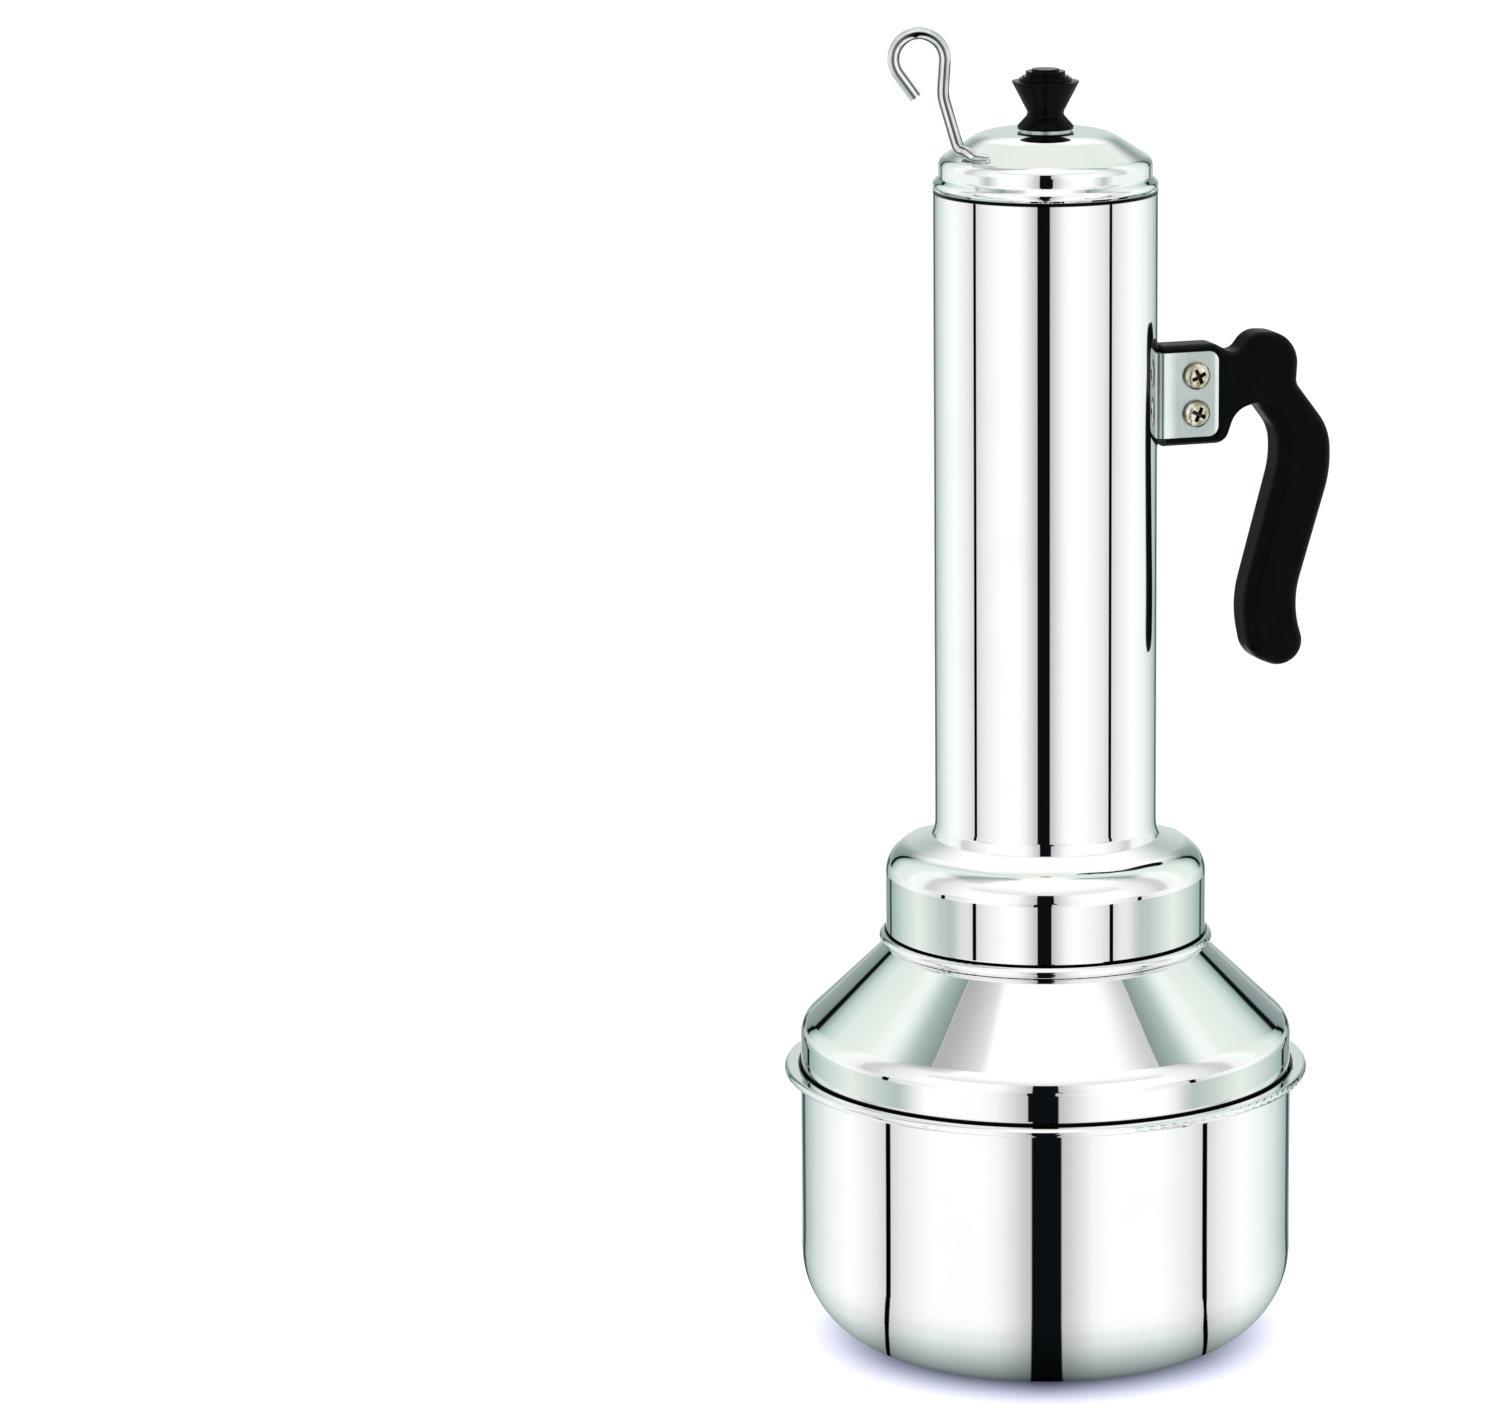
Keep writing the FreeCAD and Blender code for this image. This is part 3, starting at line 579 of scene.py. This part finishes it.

# %% [markdown]
# ## Bright wire
# The hook's wire is drawn through a die, which leaves it bright. The dark lines that run along it are
# painted reflections. The wire's mesh knows how far round itself each point is, as the attribute named
# around, from 0 to 1. A ramp on that share paints the dark reflection lines at uneven steps, and they
# follow every bend of the wire by themselves.

# %% Drawn wire
wire, tree = new_material("bright_wire")
dulled = noise(tree, object_place(tree), 160.0, 3.0)
around = tree.node("ShaderNodeAttribute", {"attribute_name": "around"}, out=2)
# Painted reflections: dark lines at fixed places round the wire, multiplied into its colour.
painted_reflection_lines = tree.colours(around, 1.0, [
    (0.04, 1.0), (0.07, 0.1), (0.11, 0.1), (0.14, 1.0),
    (0.24, 1.0), (0.27, 0.25), (0.29, 0.25), (0.32, 1.0),
    (0.44, 1.0), (0.47, 0.08), (0.5, 0.08), (0.53, 1.0),
    (0.62, 1.0), (0.65, 0.15), (0.67, 0.15), (0.7, 1.0),
    (0.82, 1.0), (0.85, 0.1), (0.87, 0.1), (0.9, 1.0)])
drawn = tree.mix(dulled.ease(0.4, 0.7), (0.74, 0.77, 0.75), (0.6, 0.63, 0.61))
surface(tree,
        Base_Color=tree.mix(1.0, drawn, painted_reflection_lines, "MULTIPLY"),
        Metallic=1.0,
        Roughness=0.035 + dulled.ease(0.4, 0.75) * 0.05)
print("materials so far:", len(bpy.data.materials))

# %% [markdown]
# ## Black moulding
# The handle and the knob are moulded from phenolic resin. The handle keeps a fine, slightly pebbled skin
# that spreads its highlights, and the knob comes from a polished die, so it is glossier. One recipe makes
# both, and the numbers after its colour are roughness, strength of the shine and depth of the pebbles.

# %% Moulded resin
def moulding(name, colour, gloss, shine, grain):
    material, tree = new_material(name)
    pebbles = noise(tree, object_place(tree), 1500.0, 2.0)
    wear = noise(tree, object_place(tree), 130.0, 4.0, 0.6)
    bump = tree.node("ShaderNodeBump", values={"Height": pebbles, "Distance": 0.00004, "Strength": grain})
    surface(tree,
            Base_Color=tree.mix(wear.ease(0.4, 0.75), colour, tuple(c * 1.5 for c in colour)),
            Roughness=gloss + wear.ease(0.4, 0.8) * 0.08,
            Specular_IOR_Level=shine,
            Normal=bump)
    return material


handle_black = moulding("handle_moulding", (0.0018, 0.0024, 0.003), 0.3, 0.03, 0.35)
knob_black = moulding("knob_moulding", (0.0014, 0.0018, 0.0023), 0.16, 0.045, 0.12)
print("mouldings:", handle_black.name, "and", knob_black.name)

# %% [markdown]
# ## Plated screws and brass
# The screws and nuts are steel with a yellowish zinc plate that has clouded in places, and the insert in
# the knob is turned brass. Plain colours would look like plastic here, so one noise sets where the plate is
# dull, and a finer one roughens it. A mesh can mark with an attribute the faces that stand in shade, and
# those are painted almost black as painted shade.

# %% Plate and brass
def turned_metal(name, fresh, dull, gloss):
    material, tree = new_material(name)
    cloud = noise(tree, object_place(tree), 420.0, 3.0)
    fine = noise(tree, object_place(tree), 3200.0, 2.0)
    # Painted shade: faces that the mesh marks with this attribute turn almost black.
    worn = tree.node("ShaderNodeAttribute", {"attribute_name": "worn"}, out=2)
    bump = tree.node("ShaderNodeBump", values={"Height": fine, "Distance": 0.00001, "Strength": 0.3})
    skin = tree.mix(cloud.ease(0.35, 0.7), fresh, dull)
    surface(tree,
            Base_Color=tree.mix(worn, skin, (0.035, 0.03, 0.025)),
            Metallic=1.0,
            Roughness=gloss + cloud.ease(0.3, 0.8) * 0.12,
            Normal=bump)
    return material


plate = turned_metal("zinc_plate", (0.78, 0.77, 0.64), (0.3, 0.27, 0.17), 0.16)
brass = turned_metal("turned_brass", (0.8, 0.6, 0.27), (0.66, 0.47, 0.2), 0.24)
print("small metals:", plate.name, "and", brass.name)

# %% [markdown]
# ## New pieces by rule
# Two kinds of piece have more detail on the real object than in the model: the wire hook with its hammered
# foot, and the two screws with their threads and crosses, whose hollows are painted dark as shade. Each
# kind is a Geometry Nodes tree with named inputs. A tree runs on a start mesh, its result is kept as a
# plain mesh, and the modifier is gone.

# %% Build a tree and turn it into a mesh
MM = 0.001


def geometry_tree(name, inputs):
    """An empty geometry tree. Returns it with its incoming geometry and its named inputs."""
    group = bpy.data.node_groups.new(name, "GeometryNodeTree")
    tree = Tree(group)
    group.interface.new_socket("Geometry", in_out="INPUT", socket_type="NodeSocketGeometry")
    group.interface.new_socket("Geometry", in_out="OUTPUT", socket_type="NodeSocketGeometry")
    for label, value in inputs.items():
        kind = "NodeSocketVector" if isinstance(value, tuple) else "NodeSocketFloat"
        group.interface.new_socket(label, in_out="INPUT", socket_type=kind).default_value = value
    entry = tree.node("NodeGroupInput")
    return group, tree, entry, {label: entry.output(label) for label in inputs}


def close_tree(tree, geometry, material):
    """Ends a tree: instances become real and the piece gets its finish."""
    real = tree.node("GeometryNodeRealizeInstances", values={"Geometry": geometry})
    dressed = tree.node("GeometryNodeSetMaterial", values={"Geometry": real, "Material": material})
    tree.node("NodeGroupOutput", values={"Geometry": dressed})


def build(name, group, values, start):
    """Runs a tree on a start mesh and returns the result as a plain object."""
    holder = bpy.data.objects.new(name + "_rule", start)
    scene.collection.objects.link(holder)
    modifier = holder.modifiers.new("rule", "NODES")
    modifier.node_group = group
    for item in group.interface.items_tree:
        if item.in_out == "INPUT" and item.name in values:
            modifier[item.identifier] = values[item.name]
    evaluated = holder.evaluated_get(bpy.context.evaluated_depsgraph_get())
    piece = bpy.data.objects.new(name, bpy.data.meshes.new_from_object(evaluated))
    bpy.data.objects.remove(holder)
    scene.collection.objects.link(piece)
    print(name, "has", len(piece.data.polygons), "faces")
    return piece


def stored(tree, geometry, name, value, kind="FLOAT", domain="POINT"):
    """Geometry that keeps a value under a name."""
    return tree.node("GeometryNodeStoreNamedAttribute", {"data_type": kind, "domain": domain},
                     {"Geometry": geometry, "Name": name, "Value": value})


def recalled(tree, name, kind="FLOAT"):
    return tree.node("GeometryNodeInputNamedAttribute", {"data_type": kind}, {"Name": name})


print("tree tools ready:", geometry_tree.__name__, close_tree.__name__, build.__name__)

# %% [markdown]
# ### The hook's line
# The hook is one wire. It was bent round a peg into the open loop, kinked, and turned along the lid, where
# its end was hammered flat for the spot weld. A curve could be drawn by hand, but arcs and straights with
# their tangents say how such a wire is bent. The line below is its centre, from the foot's tip to the
# loose end. It is worked out with the loop's plane parallel to X and Z, then the whole is turned about Z.

# %% Draw the hook's line
WIRE = 1.75 * MM
SEAT_GAP = 0.05 * MM
SLOPE = math.radians(32.0)
SLOPE_START = 18.0 * MM
SLOPE_TOP = 360.05 * MM
FOOT_RING = 27.4 * MM
FOOT_END = math.radians(54.5)
FOOT_STEPS = 30
STEM_TURN = math.radians(29.6)
FOOT_BEND = 2.8 * MM
KINK_REACH = 29.3 * MM
KINK_LEVEL = 371.7 * MM
KINK_BEND = 2.2 * MM
LOOP_SHIFT = (6.6 * MM, 0.0, 10.4 * MM)
LOOP_RADIUS = 7.3 * MM
LOOP_STEPS = 48
CORNER_STEPS = 12
LEG_LEAN = math.radians(36.0)
LEG_LENGTH = 8.3 * MM
HOOK_TURN = math.radians(160.0)


def on_slope(angle, lift):
    """A point this far round the lid, lifted square to its slope."""
    reach = FOOT_RING + math.sin(SLOPE) * lift
    level = SLOPE_TOP - (FOOT_RING - SLOPE_START) * math.tan(SLOPE) + math.cos(SLOPE) * lift
    return Vector((reach * math.cos(angle), reach * math.sin(angle), level))


def raised_by(angle):
    """A unit vector in the loop's plane, this far up from outward."""
    return Vector((math.cos(angle), 0.0, math.sin(angle)))


def steps_between(first, last, steps):
    return [first + (last - first) * i / steps for i in range(steps + 1)]


def soft_corner(start, corner, end):
    """Points of a curve that leaves start toward the corner and arrives at end from it."""
    shares = steps_between(0.0, 1.0, CORNER_STEPS)
    return [start * (1 - t) ** 2 + corner * 2 * t * (1 - t) + end * t ** 2 for t in shares]


root = on_slope(STEM_TURN, WIRE + SEAT_GAP)
kink = Vector((KINK_REACH, root.y, KINK_LEVEL))
centre = kink + Vector(LOOP_SHIFT)
span = centre - kink
touch = math.atan2(span.z, span.x) + math.asin(LOOP_RADIUS / span.length)
tangent = math.sqrt(span.length ** 2 - LOOP_RADIUS ** 2)
start_loop = kink + raised_by(touch) * tangent
stem = (kink - root).normalized()
onward = (start_loop - kink).normalized()

foot_angles = steps_between(FOOT_END, STEM_TURN + FOOT_BEND / FOOT_RING, FOOT_STEPS)
line = [on_slope(angle, WIRE + SEAT_GAP) for angle in foot_angles]
line += soft_corner(line[-1], root, root + stem * FOOT_BEND)[1:]
line += soft_corner(kink - stem * KINK_BEND, kink, kink + onward * KINK_BEND)
loop_angles = steps_between(touch + math.pi / 2, -LEG_LEAN, LOOP_STEPS)
line += [centre + raised_by(angle) * LOOP_RADIUS for angle in loop_angles]
line.append(line[-1] - Vector((math.sin(LEG_LEAN), 0.0, math.cos(LEG_LEAN))) * LEG_LENGTH)
turn = Matrix.Rotation(HOOK_TURN, 3, "Z")
hook_line = bpy.data.meshes.new("hook_line")
edges = [(i, i + 1) for i in range(len(line) - 1)]
hook_line.from_pydata([turn @ point for point in line], edges, [])
print("the hook's line has", len(line), "points and ends at", [round(v / MM, 1) for v in line[-1]])

# %% [markdown]
# ### The hook's sweep
# The tree first sweeps a circle along the line. Each swept point keeps the line's point that it came from,
# how far along the wire it lies, and how far round, for the painted reflection lines.

# %% Sweep the wire
group, tree, entry, given = geometry_tree("hammered_wire", {
    "Radius": WIRE, "Plate Half Width": 1.8 * MM, "Plate Half Thickness": 0.5 * MM,
    "Plate Start": 4.6 * MM, "Plate End": 9.0 * MM, "Tip": 3.0 * MM, "Slope": SLOPE})
curve = tree.node("GeometryNodeMeshToCurve", values={"Mesh": entry})
curve = tree.node("GeometryNodeResampleCurve", {"mode": "LENGTH"}, {"Curve": curve, "Length": 0.3 * MM})
length = tree.node("GeometryNodeSplineParameter").output("Length")
spot = tree.node("GeometryNodeInputPosition")
curve = stored(tree, curve, "line_point", spot, "FLOAT_VECTOR")
curve = stored(tree, curve, "way", length)
circle = tree.node("GeometryNodeCurvePrimitiveCircle", values={"Resolution": 36, "Radius": given["Radius"]})
circle = stored(tree, circle, "around", tree.node("GeometryNodeSplineParameter"))
swept = tree.node("GeometryNodeCurveToMesh", values={
    "Curve": curve, "Profile Curve": circle, "Fill Caps": True})
print("sweep nodes:", len(tree.nodes))

# %% [markdown]
# ### The hook's hammered foot
# A hammer makes the wire thinner and wider at once, and the tip rounder. So a point near the foot's tip
# moves in two ways. Along the lid's normal it comes nearer to the plate's middle, and across it the point
# moves away from the line. The normal leans outward with the lid's slope, so the plate lies flat on it.

# %% Hammer the foot
TIP_CUT = 0.94

line_point = recalled(tree, "line_point", "FLOAT_VECTOR")
way = recalled(tree, "way")
hammered = way.ease(given["Plate End"], given["Plate Start"])
into_tip = (1.0 - way / given["Tip"]).larger(0.0)
narrow = (1.0 - into_tip * into_tip * TIP_CUT).math("SQRT")
wide = (1.0 + hammered * (given["Plate Half Width"] / given["Radius"] - 1.0)) * narrow
thin = 1.0 + hammered * (given["Plate Half Thickness"] / given["Radius"] - 1.0)

outward = tree.vector_maths("NORMALIZE", tree.vector_maths("MULTIPLY", line_point, (1.0, 1.0, 0.0)))
lean = given["Slope"]
level_part = tree.scaled(outward, lean.math("SINE"))
up_part = tree.node("ShaderNodeCombineXYZ", values={"Z": lean.math("COSINE")})
normal = tree.vector_maths("ADD", level_part, up_part)
offset = tree.vector_maths("SUBTRACT", spot, line_point)
raised = along(tree, offset, normal)
aside = tree.vector_maths("SUBTRACT", offset, tree.scaled(normal, raised))
sink = hammered * (given["Plate Half Thickness"] - given["Radius"])
moved = tree.vector_maths("ADD", line_point, tree.scaled(aside, wide))
moved = tree.vector_maths("ADD", moved, tree.scaled(normal, raised * thin + sink))
shaped = tree.node("GeometryNodeSetPosition", values={"Geometry": swept, "Position": moved})
smooth = tree.node("GeometryNodeSetShadeSmooth", values={"Geometry": shaped, "Shade Smooth": True})
close_tree(tree, smooth, wire)
hook = build("lid_hook_bent", group, {}, hook_line)
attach(hook, "root")
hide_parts("lid_hook")

# %% [markdown]
# ### Pan-head screws
# Two M4 screws hold the handle in its bracket. Each head is a low dome with a pressed cross, and the shank
# is threaded; the cross, the head's rim and the thread's grooves are painted dark as shade. One tree makes
# both. A turned profile could make the dome too, but here the top points of a plain cylinder rise by a
# rule, which keeps the head's sizes as named inputs. The rise falls off with the fourth power of the
# radius.

# %% Shape the head
EDGE_SHADE = 0.75

group, tree, entry, given = geometry_tree("pan_head_screw", {
    "Head Radius": 4.0 * MM, "Head Height": 2.4 * MM, "Dome": 1.4 * MM, "Cross Length": 5.9 * MM,
    "Cross Width": 1.5 * MM, "Cross Depth": 1.5 * MM, "Shank Radius": 2.0 * MM, "Shank Length": 18.8 * MM,
    "Pitch": 0.7 * MM, "Thread Depth": 0.32 * MM, "Cross Turn": 0.4, "Place": (0.0, 0.0, 0.0)})
spot = tree.node("GeometryNodeInputPosition")
split = tree.node("ShaderNodeSeparateXYZ", values={"Vector": spot})
x = split.output("X")
y = split.output("Y")
z = split.output("Z")
ring = (x * x + y * y).math("SQRT")
wall_height = given["Head Height"] - given["Dome"]

disc = tree.node("GeometryNodeMeshCylinder", {"fill_type": "TRIANGLE_FAN"}, {
    "Vertices": 56, "Side Segments": 4, "Fill Segments": 14, "Radius": given["Head Radius"],
    "Depth": wall_height})
share = ring / given["Head Radius"]
on_top = z.math("GREATER_THAN", wall_height * 0.49)
domed = (1.0 - share * share * share * share) * given["Dome"] * on_top
lifted = tree.node("ShaderNodeCombineXYZ", values={"Z": wall_height * 0.5 + domed})
head = tree.node("GeometryNodeSetPosition", values={"Geometry": disc, "Offset": lifted})
# The head's rim is painted dark as shade.
head = stored(tree, head, "worn", ring.ease(3.5 * MM, 3.95 * MM) * EDGE_SHADE, domain="FACE")
print("head nodes:", len(tree.nodes))

# %% [markdown]
# The cross is pressed by a punch with four tapered wings. Here two wedges at right angles cut it, and the
# faces they leave are marked for full painted shade, almost black.

# %% Press the cross
WEDGE_TAPER = 0.42

block = tree.node("ShaderNodeCombineXYZ", values={
    "X": given["Cross Length"], "Y": given["Cross Width"], "Z": given["Cross Depth"] * 2.0})
wedge = tree.node("GeometryNodeMeshCube", values={"Size": block})
taper = 1.0 + (z / given["Cross Depth"]).smaller(0.0) * WEDGE_TAPER
pinched = tree.node("ShaderNodeCombineXYZ", values={"X": x * taper, "Y": y * taper, "Z": z})
wedge = tree.node("GeometryNodeSetPosition", values={"Geometry": wedge, "Position": pinched})
# The cross's faces are painted fully dark as shade.
wedge = stored(tree, wedge, "worn", 1.0, domain="FACE")
level = tree.node("ShaderNodeCombineXYZ", values={"Z": given["Head Height"]})
for quarter in range(2):
    spin = tree.node("ShaderNodeCombineXYZ", values={"Z": given["Cross Turn"] + quarter * math.pi / 2})
    cut = tree.node("GeometryNodeTransform", values={
        "Geometry": wedge, "Translation": level, "Rotation": spin})
    head = tree.node("GeometryNodeMeshBoolean", {"operation": "DIFFERENCE", "solver": "EXACT"},
                     {"Mesh 1": head, "Mesh 2": cut})
print("head and cross nodes:", len(tree.nodes))

# %% [markdown]
# The shank's points move in and out as the thread winds past them. The thread's depth at a point is a
# triangle wave of how many turns have gone by there, and the far end is cut to a short cone. The shank
# overlaps the head a little, and a union makes them one closed skin.

# %% Wind the thread
OVERLAP = 0.1 * MM
END_CONE = 0.6 * MM
END_CUT = 0.35 * MM
THREAD_SHADE = 0.6

shank = tree.node("GeometryNodeMeshCylinder", {"fill_type": "TRIANGLE_FAN"}, {
    "Vertices": 32, "Side Segments": 132, "Fill Segments": 1, "Radius": given["Shank Radius"],
    "Depth": given["Shank Length"]})
angle = y.math("ARCTAN2", x)
turns = z / given["Pitch"] + angle / (2 * math.pi)
groove = turns.math("PINGPONG", 0.5) * 2.0
on_wall = ring.ease(1.5 * MM, 1.9 * MM)
inset = groove * given["Thread Depth"] * on_wall
near_end = (z + given["Shank Length"] * 0.5).ease(END_CONE, 0.0) * END_CUT * on_wall
keep = 1.0 - (inset.larger(near_end) / given["Shank Radius"])
wound = tree.node("ShaderNodeCombineXYZ", values={
    "X": x * keep, "Y": y * keep, "Z": z - given["Shank Length"] * 0.5 + OVERLAP})
shank = tree.node("GeometryNodeSetPosition", values={"Geometry": shank, "Position": wound})
# The thread's grooves are painted darker as shade.
shank = stored(tree, shank, "worn", ring.ease(1.95 * MM, 1.7 * MM) * THREAD_SHADE, domain="FACE")
whole = tree.node("GeometryNodeMeshBoolean", {"operation": "UNION", "solver": "EXACT"},
                  {"Mesh 2": [head, shank]})
laid = tree.node("GeometryNodeTransform", values={
    "Geometry": whole, "Translation": given["Place"], "Rotation": (math.pi / 2, 0.0, 0.0)})
close_tree(tree, laid, plate)
print("screw nodes:", len(tree.nodes))

# %% [markdown]
# Both screws go in from the side that faces the lens. A screw stops where its thread bites, so the two
# crosses stand at different turns.

# %% Set both screws
SCREW_REACH = 44.0 * MM
HEAD_SEAT = -7.3 * MM
SCREWS = (("handle_screw_upper", 287.35 * MM, 0.44), ("handle_screw_lower", 276.25 * MM, -0.44))

for name, level, twist in SCREWS:
    values = {"Cross Turn": twist, "Place": (SCREW_REACH, HEAD_SEAT, level)}
    screw = build(name + "_threaded", group, values, bpy.data.meshes.new(name + "_start"))
    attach(screw, "root")
    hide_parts(name)

# %% [markdown]
# ## Dress the model
# A piece that is carried over keeps its mesh, and only its material slots change.

# %% Give each node its finish
FINISHES = {
    "boiler_pot": steel, "steam_cone": steel, "tube_skirt": steel, "steam_tube": steel, "lid": steel,
    "perforated_disc": satin, "knob_washer": satin, "handle_bracket": bracket_steel,
    "knob": knob_black, "handle": handle_black, "knob_insert": brass, "knob_screw": plate,
    "handle_nut_upper": plate, "handle_nut_lower": plate}
for name, finish in FINISHES.items():
    for place in nodes[name].material_slots:
        place.material = finish
    print(name, "is dressed in", finish.name)

# %% [markdown]
# In the photograph the skirt's dome stays white, without a reflection of the tube that stands on it. A
# polished dome would show one. The tube and what it carries are kept out of mirror rays to match.

# %% Keep the tube out of the dome
for name in ("steam_tube", "perforated_disc", "lid"):
    nodes[name].visible_glossy = False
    print(name, "seen in mirrors:", nodes[name].visible_glossy)
